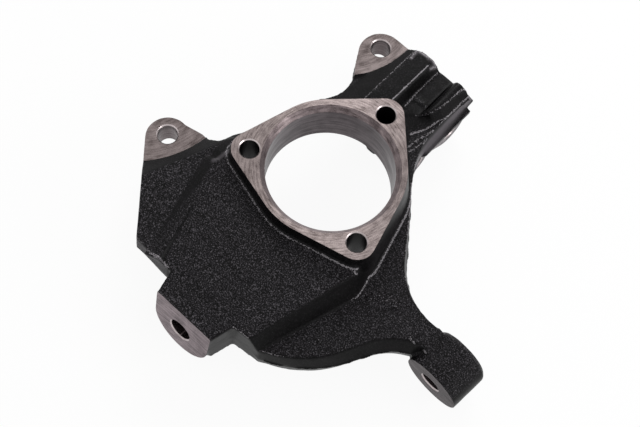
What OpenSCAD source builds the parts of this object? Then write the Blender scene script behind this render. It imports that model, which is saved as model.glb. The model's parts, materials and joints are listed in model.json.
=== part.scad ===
// Front steering knuckle of a car, one iron casting with machined faces and bores.
// Origin: centre of the bearing bore on the machined hub face.
// +Z points outboard along the wheel axle, +Y up to the strut, +X to the tie rod.

/* [Hub flange] */
// Radius of the turned bore for the wheel bearing unit
bore_r = 43.8; // [40:0.1:46]
// Radius of the lead-in cone at the hub face
lead_in_r = 47.2; // [46.5:0.1:49]
// Depth of the lead-in cone
lead_in_depth = 4.5; // [2:0.1:7]
// Depth of the bore, from the hub face to the barrel's back rim
bore_depth = 35; // [32:0.5:38]
// Radius of the clearance turned behind the barrel's back rim
back_relief_r = 52; // [51:0.5:54]
// Radius of the round part of the flange face
flange_r = 51.3; // [50:0.1:54]
// Radius of the circle that the hub bolts sit on
bolt_circle_r = 55.5; // [54:0.1:58]
// Radius of each rounded corner of the flange
lobe_r = 12.3; // [10:0.1:14]
// Number of hub bolts
bolt_count = 3; // [3:1:5]
// Radius of the hub bolt holes
hub_bolt_r = 6.75; // [5:0.05:7.5]
// Draft of the flange's cast wall, in degrees
flange_draft = 9; // [5:0.5:12]
// Radius of the round bosses behind the bolt holes
bolt_boss_r = 11; // [9.5:0.1:11.5]
// Length of those bosses behind the barrel's back rim
bolt_boss_h = 6; // [3:0.5:9]

/* [Main block] */
// Depth of the block's top below the hub face, level with the flange's lower edge
block_drop = 9; // [7:0.5:11]
// Fall of the block's top towards the ball joint, in degrees
block_fall = 3.4; // [1:0.1:5]
// Upper end of the crest along the block's left edge
crest_top = [-61, -45]; // [-140:0.5:140]
// Lower end of that crest
crest_foot = [-38.5, -121.5]; // [-140:0.5:140]
// Depth of the crest's lower end below the hub face
crest_foot_drop = 10.8; // [10:0.1:12]
// Width of the step from the crest down to the block's top
crest_step_w = 2.6; // [1.5:0.1:4]
// Width of the ramp from the crest down to the ear plate
ramp_w = 10; // [8:0.5:12]
// Upper end of the flank's foot on the low plate
flank_top = [69, -48]; // [-140:0.5:140]
// Lower end of the flank's foot
flank_foot = [48, -119]; // [-140:0.5:140]
// Lean of the right flank, from vertical
flank_lean = 31; // [24:1:36]
// Depth of the block's underside below the hub face
base_depth = 46; // [44:0.5:50]
// Thickness of the block's top wall over the cored pocket
block_wall = 12; // [9:0.5:14]
// Thickness of the ribs left across the cored pocket
pocket_rib = 7; // [5:0.5:10]
// Corner radius of the cored pockets
pocket_round = 4; // [2:0.5:6]

/* [Ball joint boss] */
// Radius of the ball joint stud hole
ball_hole_r = 8.25; // [6:0.05:10]
// Distance of the stud hole's mouth below the hub axis
ball_down = 140.8; // [138:0.1:143]
// Sideways place of the stud hole
ball_side = -1.3; // [-4:0.1:2]
// Depth of the stud hole's mouth below the hub face
ball_depth = 37; // [35:0.5:39]
// Tilt of the stud axis in the steering plane, in degrees
ball_tilt = 9.5; // [7:0.5:12]
// Radius of the boss's round underside
ball_boss_r = 23.4; // [21:0.1:23.6]
// Width of the boss's straight top edge
ball_edge_w = 47.4; // [45:0.1:50]
// Height of the top edge over the stud hole
ball_edge_h = 23.5; // [22:0.1:25]
// Length of the boss along the stud axis
ball_boss_len = 40; // [34:1:46]

/* [Lower plate and tie rod arm] */
// Depth of the plate's top below the hub face
plate_drop = 25; // [23:0.5:27]
// Thickness of the plate over its cored underside
plate_wall = 11; // [8:0.5:13]
// Thickness of the wall round the plate's cored underside
edge_wall = 9; // [7:0.5:11]
// Depth of the arm's underside below the hub face
arm_base_depth = 50; // [47:0.5:54]
// Depth of the casting's parting line below the hub face
part_line_depth = 37; // [34:0.5:40]
// Centre of the plate's round lower edge
plate_edge = [19.2, -48.2]; // [-140:0.1:140]
// Radius of the plate's round lower edge
plate_edge_r = 75.4; // [74:0.1:77]
// Radius of the hollow edge that leads to the tie rod boss
arm_lower_r = 41.2; // [39:0.1:43]
// Radius of the hollow upper edge of the arm
arm_upper_r = 51.7; // [50:0.1:54]
// Sideways distance of the tie rod hole's mouth from the hub axis
tie_out = 139.7; // [134:0.1:145]
// Distance of that mouth below the hub axis
tie_down = 51.6; // [47:0.1:56]
// Depth of that mouth below the hub face
tie_depth = 45; // [42:0.1:48]
// Radius of the tie rod boss
tie_boss_r = 21.2; // [19:0.1:23]
// Sideways shift of the cast boss against its hole
tie_boss_shift = 0.9; // [-1:0.1:1]
// Length of the tie rod boss
tie_boss_len = 30; // [26:0.5:34]
// Chamfer at the boss's back end
tie_chamfer = 3; // [1:0.5:5]
// Radius of the tie rod hole
tie_hole_r = 7.2; // [5:0.05:9]
// Tilt of the tie rod hole out of the hub face's plane, in degrees
tie_tilt = 5; // [0:0.5:8]
// Turn of the tie rod hole about the wheel axis, in degrees
tie_turn = 4; // [0:0.5:8]

/* [Caliper ears] */
// Depth of the machined ear faces below the hub face
ear_drop = 24; // [22:0.5:26]
// Thickness of the ears
ear_t = 20; // [17:0.5:24]
// Radius of the ear holes
ear_hole_r = 7; // [5:0.05:8]
// Radius of the lower ear's round end
lower_ear_r = 14.8; // [14:0.1:16]
// Radius of the upper ear's round end
upper_ear_r = 16.5; // [15.5:0.1:17.5]
// Sideways distance of the lower ear's hole from the hub axis
lower_ear_out = 104; // [99:0.1:109]
// Distance of the lower ear's hole below the hub axis
lower_ear_down = 50.3; // [46:0.1:54]
// Sideways distance of the upper ear's hole from the hub axis
upper_ear_out = 45.1; // [42:0.1:48]
// Distance of the upper ear's hole above the hub axis
upper_ear_up = 104.6; // [101:0.1:106]
// Height of the cast skin beside the upper ear's machined face
ear_skin = 0.5; // [0.2:0.1:0.8]
// Radius of the cutter's sweep that bounds the ear faces
ear_sweep_r = 61.2; // [59:0.1:63]
// Offset of the sweep's centre from the lower ear's hole
lower_sweep = [-39.8, 16.6]; // [-60:0.1:60]
// Offset of the sweep's centre from the upper ear's hole
upper_sweep = [-45, 9]; // [-60:0.1:60]
// Depth of the ear plate's top below the hub face
web_drop = 14; // [12:0.5:16]
// Thickness of the ear plate
web_t = 13; // [11:0.5:16]
// Lower left corner of the ear plate
web_corner = [-60.5, -120.5]; // [-150:0.5:150]
// Lean of the band that leads from the ear plate's top down to the ear, from vertical
band_lean = 57; // [50:1:64]

/* [Strut arm] */
// Distance of the arm's end above the hub axis
arm_end = 118; // [115:0.5:122]
// Left and right edge of the tall ridge's top
ridge = [-23.2, -8.5]; // [-30:0.5:0]
// Depth of the tall ridge's top below the hub face
ridge_drop = 14; // [12:0.5:16]
// Foot of the ramp between the tall ridge and the upper ear
ramp_foot = -39; // [-42:0.5:-34]
// Left and right edge of the channel's floor
channel = [-2.5, 11]; // [-6:0.5:12]
// Depth of the channel floor below the hub face
channel_drop = 23; // [21:0.5:24.5]
// Left and right edge of the rounded second ridge
second_ridge = [13.5, 20.5]; // [12:0.5:22]
// Depth of the second ridge's top below the hub face
second_ridge_drop = 15.5; // [14.5:0.5:18]
// Bulge of the arm's right edge at the parting line
rim_bulge = 3; // [1.5:0.5:4]
// Lean of the arm's end at its right corner, from vertical
end_lean = 25; // [15:1:35]
// Radius of the strut bolt holes
strut_hole_r = 6.5; // [5:0.05:8]
// Depth of the strut bolts below the hub face
strut_depth = 51; // [49:0.5:54]
// Height of the upper strut bolt above the hub axis
strut_upper = 103; // [101:0.5:104]
// Height of the lower strut bolt above the hub axis
strut_lower = 64; // [63:0.5:68]
// Radius of the upper strut boss
strut_upper_r = 14; // [12:0.5:15]
// Radius of the lower strut boss
strut_lower_r = 11.5; // [10:0.5:12.5]
// Slope of the strut body's underside between its two bosses, in degrees
strut_slope = 34; // [30:1:38]
// Left and right clamp face of the strut mount
clamp = [-16, 28]; // [-20:0.5:30]

/* [Hidden] */
$fn = 72;

iron_black = "#1c1b1d";
over = 1;
far = 400;
lift = 6;
flange_spread = bore_depth * tan(flange_draft);
ear_back = ear_drop + ear_t;
web_back = web_drop + web_t;
boss_back = bore_depth + bolt_boss_h;
ball_mouth = [ball_side, -ball_down, -ball_depth];
tie_mouth = [tie_out, -tie_down, -tie_depth];
lower_ear = [-lower_ear_out, -lower_ear_down];
upper_ear = [-upper_ear_out, upper_ear_up];
ramp_lean = 90 - atan2(web_drop - block_drop, ramp_w);
lower_ear_centre = lower_ear + [2.2, -1.9];
lower_ear_ends = [82, 222];
upper_ear_centre = upper_ear + [3.2, -2.9];
upper_ear_ends = [88, 207];
waist_centre = upper_ear - [21.7, 42.8];
waist_r = 26.2;
waist_ends = [45, -45];
arm_lower_centre = [tie_out - 7.7, -tie_down - 31.4];
arm_lower_ends = [158, 104];
arm_upper_centre = [tie_out - 24.1, 76.9 - tie_down];
arm_upper_ends = [-80, -150];
plate_edge_ends = [-64, -24];
lobe_angles = [for (i = [0 : bolt_count - 1]) 90 + i * 360 / bolt_count];

// Points of an arc about a centre, between the two angles of ends, in n steps
function arc(centre, r, ends, n) =
  [for (i = [0 : n]) let (a = ends[0] + (ends[1] - ends[0]) * i / n) centre + r * [cos(a), sin(a)]];

// A solid between two depths whose outline grows or shrinks about a centre, as a drafted mould wall.
// It starts at the depth where its outline is shared with another solid, so that the two meet exactly.
module drafted(centre, start, end, start_scale, end_scale) {
  first = is_num(start_scale) ? [start_scale, start_scale] : start_scale;
  last = is_num(end_scale) ? [end_scale, end_scale] : end_scale;
  translate([centre.x, centre.y, -start])
    mirror([0, 0, end > start ? 1 : 0])
      linear_extrude(height = abs(end - start), scale = [last.x / first.x, last.y / first.y], slices = 1)
        scale(first)
          translate(-centre)
            children();
}

// Everything above a plane that passes through the line from p to q and falls away to its right
module above_slope(p, q, depth, lean) {
  run = q - p;
  translate([p.x, p.y, -depth])
    rotate([0, 0, atan2(run.y, run.x)])
      rotate([90 - lean, 0, 0])
        translate([-far / 2, -far / 2, 0])
          cube([far, far, far / 2]);
}

// Everything below a plane that passes through the line from p to q and rises away to its right
module below_slope(p, q, depth, lean) {
  mirror([0, 0, 1])
    above_slope(p, q, -depth, lean);
}

// Places a child at the ball joint's mouth, with +Z out along the stud
module at_ball_joint() {
  translate(ball_mouth)
    rotate([90 - ball_tilt, 0, 0])
      children();
}

// Places a child at the tie rod hole's mouth, with +Z out along the hole
module at_tie_rod() {
  translate(tie_mouth)
    rotate([0, 0, -tie_turn])
      rotate([90 + tie_tilt, 0, 0])
        children();
}

// Hub flange: a round disc with rounded corners, its cast wall drafted outwards to the back
module hub_flange() {
  color(iron_black)
    hull() {
      translate([0, 0, -bore_depth])
        cylinder(h = bore_depth, r1 = flange_r + flange_spread, r2 = flange_r, $fn = 64);
      for (a = lobe_angles)
        rotate(a)
          translate([bolt_circle_r, 0, -bore_depth])
            cylinder(h = bore_depth, r1 = lobe_r + flange_spread, r2 = lobe_r, $fn = 32);
    }
}

// Round bosses behind the hub bolt holes
module bolt_bosses() {
  color(iron_black)
    for (a = lobe_angles)
      rotate(a)
        translate([bolt_circle_r, 0, -boss_back])
          cylinder(h = boss_back - block_drop, r = bolt_boss_r);
}

// Front edge of the block: the step round the ball joint boss
function block_front() = let (half = ball_edge_w / 2, front = 3.3 - ball_down) [
  [crest_foot.x + 10.5, crest_foot.y + 0.3], [ball_side + 1 - half, front],
  [ball_side + 1 + half, front], [ball_side + 29, crest_foot.y + 0.5]
];

// Outline of the raised block between the flange and the ball joint
module block_outline() {
  polygon(concat(
    [crest_top + [-7, 19], crest_top + [-14, 5], crest_foot + [-ramp_w, 0]],
    block_front(),
    [flank_foot + [-8, -0.5], flank_foot + [-0.5, 0.2], flank_foot + [3, 5], flank_top + [3, 4],
     flank_top + [-1, 18], flank_top + [-9, 26], [40, -20], [-50, -12]]
  ));
}

// Cross-section of the crest at a place on its line: a ramp to the ear plate and a short step down
module crest_section(place, drop, foot) {
  run = crest_foot - crest_top;
  translate([place.x, place.y, -drop])
    rotate([0, 0, atan2(run.y, run.x)])
      rotate([90, 0, 90])
        linear_extrude(height = over / 10)
          polygon([
            [-ramp_w - over, drop - web_drop - over / 2], [0, 0], [crest_step_w, -foot],
            [crest_step_w, -lift], [-ramp_w - over, -lift]
          ]);
}

// Low crest along the block's left edge, between the ramp and the block's top
module block_crest() {
  color(iron_black)
    hull() {
      crest_section(crest_top, block_drop - 0.3, 1);
      crest_section(crest_foot, crest_foot_drop, 2.4);
    }
}

// Raised block: a sloping top with a crest on its left and a steep flank on its right
module main_block() {
  color(iron_black)
    difference() {
      drafted([0, -80], base_depth, block_drop - lift, 1.015, 0.99)
        block_outline();
      translate([0, flank_top.y, -block_drop])
        rotate([block_fall, 0, 0])
          translate([-far / 2, -far / 2, 0])
            cube([far, far, far]);
      above_slope(flank_foot, flank_top, plate_drop, flank_lean);
      above_slope(flank_top + [-0.2, 3], flank_top + [-3.5, 16.6], plate_drop, 24);
      above_slope(crest_top, crest_foot, block_drop + 1.5, ramp_lean);
      above_slope(crest_top + [3.5, 23], crest_top, block_drop, ramp_lean);
      below_slope([web_corner.x - 21, crest_top.y], web_corner, web_back, 71);
    }
}

// Face outline of the ball joint boss: a straight top edge over a round
module ball_face() {
  half = ball_edge_w / 2;
  polygon(concat(
    arc([1, ball_edge_h - 21.3], ball_boss_r, [180, 360], 24),
    [[1 + half, ball_edge_h], [1 - half, ball_edge_h]]
  ));
}

// Ball joint boss along the tilted stud axis
module ball_boss() {
  color(iron_black)
    at_ball_joint()
      translate([0, 0, -ball_boss_len])
        linear_extrude(height = ball_boss_len)
          ball_face();
}

// Outline of the low plate that runs from the block round the tie rod arm up to the strut arm
module plate_outline() {
  tie = [tie_mouth.x, tie_mouth.y];
  polygon(concat(
    [[-10, -112], flank_foot + [1, 1]],
    arc(plate_edge, plate_edge_r, plate_edge_ends, 10),
    arc(arm_lower_centre, arm_lower_r, arm_lower_ends, 8),
    [tie + [-4, 8], tie + [-4, 26]],
    arc(arm_upper_centre, arm_upper_r, arm_upper_ends, 12),
    [[49.1, 30.2], [0, 60], [-20, 0]]
  ));
}

// Low plate, its edge drafted both ways from the parting line, its underside falling to the arm
module lower_plate() {
  centre = [50, -30];
  bulge = [1.14, 1.022];
  color(iron_black)
    difference() {
      union() {
        drafted(centre, part_line_depth, plate_drop, bulge, 1)
          plate_outline();
        drafted(centre, part_line_depth, base_depth, bulge, [1.075, 1.008])
          plate_outline();
        difference() {
          drafted(centre, part_line_depth, arm_base_depth, bulge, [1.065, 1.006])
            plate_outline();
          below_slope([flank_foot.x + 7, 0], [flank_foot.x + 7, -1], base_depth, 84);
        }
      }
      above_slope([tie_mouth.x - 16.5, -70], [tie_mouth.x - 16.5, -20], plate_drop, 63);
    }
}

// Tie rod boss, a short cylinder with a chamfered back end
module tie_rod_boss() {
  color(iron_black)
    at_tie_rod() {
      translate([tie_boss_shift, 0, tie_chamfer - tie_boss_len])
        cylinder(h = tie_boss_len - tie_chamfer, r = tie_boss_r);
      translate([tie_boss_shift, 0, -tie_boss_len])
        cylinder(h = tie_chamfer, r1 = tie_boss_r - tie_chamfer, r2 = tie_boss_r);
    }
}

// Round outer end of the lower ear
function lower_ear_round() = arc(lower_ear_centre, lower_ear_r, lower_ear_ends, 14);

// Edge from the hub barrel out to the top of the lower ear
function lower_ear_top() = [
  [-40, -5], [-58.5, -4], [-63.4, -12.3], [-66, -17.6], [-69.2, -22.5], [-70.6, -28],
  [-72.5, -31.8], [-79, -34.9], lower_ear + [17.6, 15.8]
];

// Outline of the lower ear and the web that ties it to the block and the flange
module lower_ear_outline() {
  polygon(concat(
    lower_ear_round(),
    [web_corner, crest_foot + [8, 0], [-20, -60]],
    lower_ear_top()
  ));
}

// Outline of the deep arm under the lower ear, from its round end to the hub barrel
module lower_ear_arm_outline() {
  polygon(concat(
    lower_ear_round(),
    [lower_ear + [8, -28.7], lower_ear + [32, -21.7], [-40, -50]],
    lower_ear_top()
  ));
}

// Lower caliper ear: a thin web, a deep arm under the ear and the band that falls to the ear
module lower_ear_plate() {
  color(iron_black)
    difference() {
      union() {
        drafted([-70, -70], web_drop, web_back, 1, 1.03)
          lower_ear_outline();
        drafted([-75, -40], web_drop, ear_back, 1, 0.97)
          lower_ear_arm_outline();
      }
      intersection() {
        above_slope(lower_ear + [35.4, 19.3], lower_ear + [14.4, -34.7], web_drop, band_lean);
        translate([-far, -far / 2, -ear_drop])
          cube([far, far, ear_drop]);
      }
    }
}

// Left edge of the strut arm: the upper ear's round end and the hollow waist under it
function arm_left_edge() = concat(
  arc(upper_ear_centre, upper_ear_r, upper_ear_ends, 12),
  arc(waist_centre, waist_r, waist_ends, 10),
  [[-30, 20]]
);

// Outline of the strut arm, cut straight on the right
module arm_outline(right) {
  polygon(concat(
    [[right, arm_end + lift], [-20, arm_end + lift], [-20, arm_end]],
    arm_left_edge(),
    [[right, 20]]
  ));
}

// Outline of the raised top of the strut arm, left of the wall that falls to the rim
module raised_top_outline() {
  right = second_ridge[1];
  polygon([
    [-90, 20], [-90, arm_end - 5.5], [ridge[0] - 6, arm_end - 4], [ridge[0], arm_end - 2],
    [ridge[0] + 7, arm_end + 1.2], [right + 2, arm_end], [right + 0.6, arm_end - 8],
    [right, arm_end - 15], [right - 0.9, arm_end - 24.5], [right - 4.2, arm_end - 32],
    [right - 14.8, arm_end - 37.1], [right - 22.5, arm_end - 43.7], [-10, 66], [-10, 20]
  ]);
}

// Low shoulder beside the channel, which runs down from the raised top to the plate
module arm_shoulder() {
  hull() {
    translate([0, 0, -channel_drop - over])
      linear_extrude(height = over)
        polygon([
          [-20, 55], [-1, 71], [8.8, 79.9], [14.8, 89.1], [17.2, 97.1], [10, 100], [-20, 100]
        ]);
    translate([0, 0, -plate_drop - over])
      linear_extrude(height = 2 * over)
        polygon([
          [-20, 40], [13, 55], [16.2, 67], [18.5, 76.6], [21.3, 86.6], [22.5, 93], [10, 100], [-20, 100]
        ]);
  }
}

// Profile across the strut arm's top: ear, ramp, tall ridge, channel and second ridge
module arm_profile() {
  top = -second_ridge_drop;
  crown = (second_ridge[0] + second_ridge[1]) / 2;
  polygon([
    [-90, -ear_back], [-90, 1 - ear_drop], [ramp_foot, 1 - ear_drop], [ridge[0], -ridge_drop],
    [ridge[1], -ridge_drop], [ridge[1] + 1.5, -ridge_drop - 1.5], [channel[0], -channel_drop],
    [channel[1], 0.5 - channel_drop], [second_ridge[0], top - 1.8], [crown - 1.5, top - 0.2],
    [crown + 1, top], [second_ridge[1], top - 1.2], [second_ridge[1] + 20, top - 6],
    [second_ridge[1] + 20, -ear_back]
  ]);
}

// Right edge of the strut arm, from the plate up to the arm's end
module rim_outline() {
  polygon([
    [49.1, 30.2], [41.9, 39.2], [33.4, 52.2], [29.2, 62], [26.7, 70.3], [25.5, 77],
    [25.2, arm_end - 33], [25.1, arm_end - 23], [25.3, arm_end - 8], [24.8, arm_end + 7.5],
    [15, arm_end], [0, arm_end], [0, 40], [20, 0]
  ]);
}

// Strut arm with its stepped top, its right rim and the upper caliper ear
module strut_arm() {
  bulge = 1 + rim_bulge / clamp[1];
  color(iron_black) {
    intersection() {
      translate([0, arm_end + lift, 0])
        rotate([90, 0, 0])
          linear_extrude(height = arm_end)
            arm_profile();
      translate([0, 0, -ear_back])
        linear_extrude(height = ear_back)
          arm_outline(far / 8);
      drafted([-70, arm_end - 12], plate_drop + over, ridge_drop - 2, 1.062, 0.966)
        raised_top_outline();
    }
    translate([0, 0, -ear_back])
      linear_extrude(height = ear_t + ear_skin)
        intersection() {
          arm_outline(0);
          translate([-far / 2, 0])
            square([far / 2, arm_end]);
        }
    difference() {
      union() {
        drafted([0, arm_end], part_line_depth, plate_drop, bulge, 1)
          rim_outline();
        drafted([0, arm_end], part_line_depth, ear_back, bulge, 1)
          rim_outline();
      }
      above_slope([clamp[1], arm_end + 2.5], [0, arm_end + 2.5], plate_drop, end_lean);
    }
    arm_shoulder();
  }
}

// Side profile of the deep body that the strut bracket clamps, seen along the strut bolts
module strut_body_profile() {
  foot = [strut_upper, -strut_depth] - strut_upper_r * [sin(strut_slope), cos(strut_slope)];
  rise = foot.y + strut_depth;
  translate([strut_upper, -strut_depth])
    circle(r = strut_upper_r);
  translate([strut_lower, -strut_depth])
    circle(r = strut_lower_r);
  polygon([
    [strut_lower - strut_lower_r, -part_line_depth], [strut_lower - strut_lower_r, -strut_depth],
    [foot.x + rise / tan(strut_slope), -strut_depth], foot, [strut_upper, -strut_depth],
    [strut_upper + strut_upper_r, 2 - strut_depth],
    [arm_end, -part_line_depth - 8], [arm_end, -part_line_depth]
  ]);
}

// Deep body between the two strut clamp faces
module strut_body() {
  color(iron_black)
    translate([clamp[0], 0, 0])
      rotate([90, 0, 90])
        linear_extrude(height = clamp[1] - clamp[0])
          strut_body_profile();
}

// Clearance turned behind the barrel, which leaves its back rim a clean ring
module back_relief() {
  translate([0, 0, -far])
    cylinder(h = far - bore_depth, r = back_relief_r, $fn = 96);
}

// Cored pocket under the block, open to the back, with a rib left on each side of the ball joint
module block_pocket() {
  rib_place = ball_edge_w / 2 - pocket_rib / 2;
  drafted([5, -85], base_depth + over, block_drop + block_wall, 1.05, 1)
    difference() {
      offset(r = pocket_round)
        polygon([
          [-36, -76], [-24, -105], [34, -105], [44, -70], [20, -72], [0, -74], [-22, -70]
        ]);
      for (side = [-1, 1])
        translate([ball_side + 1 + side * rib_place - pocket_rib / 2, -130])
          square([pocket_rib, 90]);
    }
}

// Cored pocket under the low plate, one wall inside its edges
module plate_pocket() {
  inset = edge_wall + pocket_round;
  drafted([78, -60], arm_base_depth + over, plate_drop + plate_wall, 1.03, 1)
    offset(r = pocket_round)
      polygon(concat(
        [flank_foot + [11, 22]],
        arc(plate_edge, plate_edge_r - inset, [-56, plate_edge_ends[1]], 5),
        arc(arm_lower_centre, arm_lower_r + inset, [arm_lower_ends[0], 136], 3),
        arc(arm_upper_centre, arm_upper_r + inset, [-110, -132], 3),
        [flank_top + [6, 4]]
      ));
}

// Turned bore with its lead-in cone
module bearing_bore() {
  translate([0, 0, -bore_depth - far / 8])
    cylinder(h = bore_depth + far / 8 + over, r = bore_r, $fn = 128);
  translate([0, 0, -lead_in_depth])
    cylinder(h = lead_in_depth + over,
             r1 = bore_r, r2 = lead_in_r + (lead_in_r - bore_r) * over / lead_in_depth, $fn = 128);
}

// Hub bolt holes, through the casting except under the strut arm, where the hole ends behind its boss
module hub_bolt_holes() {
  for (a = lobe_angles) {
    end = a == lobe_angles[0] ? boss_back : base_depth;
    rotate(a)
      translate([bolt_circle_r, 0, -end - over])
        cylinder(h = end + 2 * over, r = hub_bolt_r);
  }
}

// Machined seat round one ear's hole: the cutter's sweep and the hole itself
module ear_cut(hole, sweep) {
  translate([hole.x + sweep.x, hole.y + sweep.y, -ear_drop])
    cylinder(h = ear_drop + over, r = ear_sweep_r, $fn = 96);
  translate([hole.x, hole.y, -ear_back - over])
    cylinder(h = ear_back + 2 * over, r = ear_hole_r);
}

// Stud hole of the ball joint, and the plane its face is milled to
module ball_cut() {
  at_ball_joint() {
    translate([0, 0, -ball_boss_len - over])
      cylinder(h = ball_boss_len + 2 * over, r = ball_hole_r);
    translate([-far / 4, -far / 4, 0])
      cube([far / 2, far / 2, far / 4]);
  }
}

// Tie rod hole
module tie_rod_hole() {
  at_tie_rod()
    translate([0, 0, -tie_boss_len - over])
      cylinder(h = tie_boss_len + 2 * over, r = tie_hole_r);
}

// Strut bolt holes through the deep body
module strut_bolt_holes() {
  for (up = [strut_lower, strut_upper])
    translate([clamp[0] - over, up, -strut_depth])
      rotate([0, 90, 0])
        cylinder(h = clamp[1] - clamp[0] + 2 * over, r = strut_hole_r);
}

// The whole casting with its machined surfaces
module knuckle() {
  color(iron_black)
    difference() {
      union() {
        difference() {
          union() {
            main_block();
            block_crest();
            lower_plate();
            lower_ear_plate();
            strut_arm();
            strut_body();
          }
          back_relief();
          block_pocket();
          plate_pocket();
        }
        hub_flange();
        bolt_bosses();
        ball_boss();
        tie_rod_boss();
      }
      bearing_bore();
      hub_bolt_holes();
      ear_cut(lower_ear, lower_sweep);
      ear_cut(upper_ear, upper_sweep);
      ball_cut();
      tie_rod_hole();
      strut_bolt_holes();
    }
}

knuckle();
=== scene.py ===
"""Front steering knuckle: one sand-cast iron part with a black coat and bare machined surfaces.

The raw casting is made from the CAD solid with stock left on its machined places. Its edges are
rounded as a sand mould leaves them, and the faces, bores and holes are then cut into it, so that
they meet the black skin in crisp edges.
"""

import json
import logging
import math
from dataclasses import dataclass, field
from enum import Enum

import bpy
import numpy as np
from mathutils import Matrix, Vector

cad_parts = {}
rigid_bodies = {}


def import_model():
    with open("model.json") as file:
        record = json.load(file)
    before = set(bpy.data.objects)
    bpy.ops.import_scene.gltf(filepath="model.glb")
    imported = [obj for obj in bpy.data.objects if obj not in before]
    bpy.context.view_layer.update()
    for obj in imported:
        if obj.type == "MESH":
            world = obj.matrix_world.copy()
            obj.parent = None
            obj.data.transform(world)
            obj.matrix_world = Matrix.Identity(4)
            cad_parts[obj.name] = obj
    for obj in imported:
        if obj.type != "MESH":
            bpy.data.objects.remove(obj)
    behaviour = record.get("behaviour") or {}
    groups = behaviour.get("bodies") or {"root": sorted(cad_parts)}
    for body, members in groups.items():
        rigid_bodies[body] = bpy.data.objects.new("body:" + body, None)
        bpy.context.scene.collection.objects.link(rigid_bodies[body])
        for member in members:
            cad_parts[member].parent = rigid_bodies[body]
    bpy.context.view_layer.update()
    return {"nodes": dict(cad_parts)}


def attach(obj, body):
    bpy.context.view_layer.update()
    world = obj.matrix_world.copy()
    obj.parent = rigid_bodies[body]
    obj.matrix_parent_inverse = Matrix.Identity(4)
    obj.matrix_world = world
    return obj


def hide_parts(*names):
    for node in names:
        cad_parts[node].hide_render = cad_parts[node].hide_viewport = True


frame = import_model()

log = logging.getLogger("knuckle")

MM = 0.001
UP = Vector((0, 0, 1))
SIDE = Vector((1, 0, 0))

Triple = tuple[float, float, float]


def linear(code: str) -> tuple[float, float, float, float]:
    """Turns an sRGB hex colour into linear light.

    Args:
        code: Colour such as "#1c1b1d".

    Returns:
        Red, green, blue and full opacity.
    """
    parts = [int(code[i : i + 2], 16) / 255 for i in (1, 3, 5)]
    lin = [c / 12.92 if c <= 0.04045 else ((c + 0.055) / 1.055) ** 2.4 for c in parts]
    return (lin[0], lin[1], lin[2], 1.0)


def deselect_all() -> None:
    """Leaves object mode with nothing selected."""
    if bpy.context.object and bpy.context.object.mode != "OBJECT":
        bpy.ops.object.mode_set(mode="OBJECT")
    bpy.ops.object.select_all(action="DESELECT")


def activate(obj: bpy.types.Object) -> None:
    """Selects one object alone and makes it active.

    Args:
        obj: The object to work on.
    """
    deselect_all()
    obj.select_set(True)
    bpy.context.view_layer.objects.active = obj


def apply_modifier(obj: bpy.types.Object, kind: str, **settings: object) -> None:
    """Adds a modifier, sets it up and applies it.

    Args:
        obj: The object to change.
        kind: Blender's name of the modifier type.
        **settings: Its properties.
    """
    modifier = obj.modifiers.new(kind.title(), kind)
    for key, value in settings.items():
        setattr(modifier, key, value)
    activate(obj)
    bpy.ops.object.modifier_apply(modifier=modifier.name)


def rod(
    start: Vector, axis: Vector, length: float, radius: float, end_radius: float | None = None
) -> bpy.types.Object:
    """Adds a round rod or a cone frustum.

    Args:
        start: Centre of its first end.
        axis: Direction it runs in.
        length: Its length.
        radius: Radius at the first end.
        end_radius: Radius at the other end, the same when left out.

    Returns:
        The new object.
    """
    unit = axis.normalized()
    deselect_all()
    bpy.ops.mesh.primitive_cone_add(
        vertices=128,
        radius1=radius,
        radius2=radius if end_radius is None else end_radius,
        depth=length,
        location=start + unit * length / 2,
        rotation=unit.to_track_quat("Z", "Y").to_euler(),
    )
    return bpy.context.object


def read_vectors(items: bpy.types.bpy_prop_collection, key: str) -> np.ndarray:
    """Reads a vector property of mesh items as rows.

    Args:
        items: Vertices of a mesh.
        key: Name of the property, such as "co".

    Returns:
        One row of three numbers for each item.
    """
    flat = np.empty(len(items) * 3, np.float32)
    items.foreach_get(key, flat)
    return flat.reshape(-1, 3).astype(float)


def add_node(
    tree: bpy.types.NodeTree,
    kind: str,
    inputs: dict[str | int, object] | None = None,
    stops: list[tuple[float, str]] | None = None,
    **settings: object,
) -> bpy.types.Node:
    """Adds a shader node with its settings and links.

    Args:
        tree: Node tree to add it to.
        kind: Type of the node, without the ShaderNode prefix.
        inputs: Values or output sockets for its inputs, by name or number.
        stops: Places from 0 to 1 and sRGB hex colours of its colour ramp, in order.
        **settings: Properties of the node.

    Returns:
        The new node.
    """
    node = tree.nodes.new("ShaderNode" + kind)
    for key, value in settings.items():
        setattr(node, key, value)
    for key, value in (inputs or {}).items():
        if isinstance(value, bpy.types.NodeSocket):
            tree.links.new(value, node.inputs[key])
        else:
            node.inputs[key].default_value = value
    for number, (place, code) in enumerate(stops or []):
        elements = node.color_ramp.elements
        element = elements[number] if number < len(elements) else elements.new(place)
        element.position = place
        element.color = linear(code)
    return node


def new_material(name: str) -> tuple[bpy.types.Material, bpy.types.NodeTree, bpy.types.Node]:
    """Makes a material with an empty Principled shader.

    Args:
        name: Name of the finish.

    Returns:
        The material, its node tree and the Principled node.
    """
    material = bpy.data.materials.new(name)
    material.use_nodes = True
    tree = material.node_tree
    tree.nodes.clear()
    shader = add_node(tree, "BsdfPrincipled")
    add_node(tree, "OutputMaterial", {"Surface": shader.outputs[0]})
    return material, tree, shader


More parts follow.
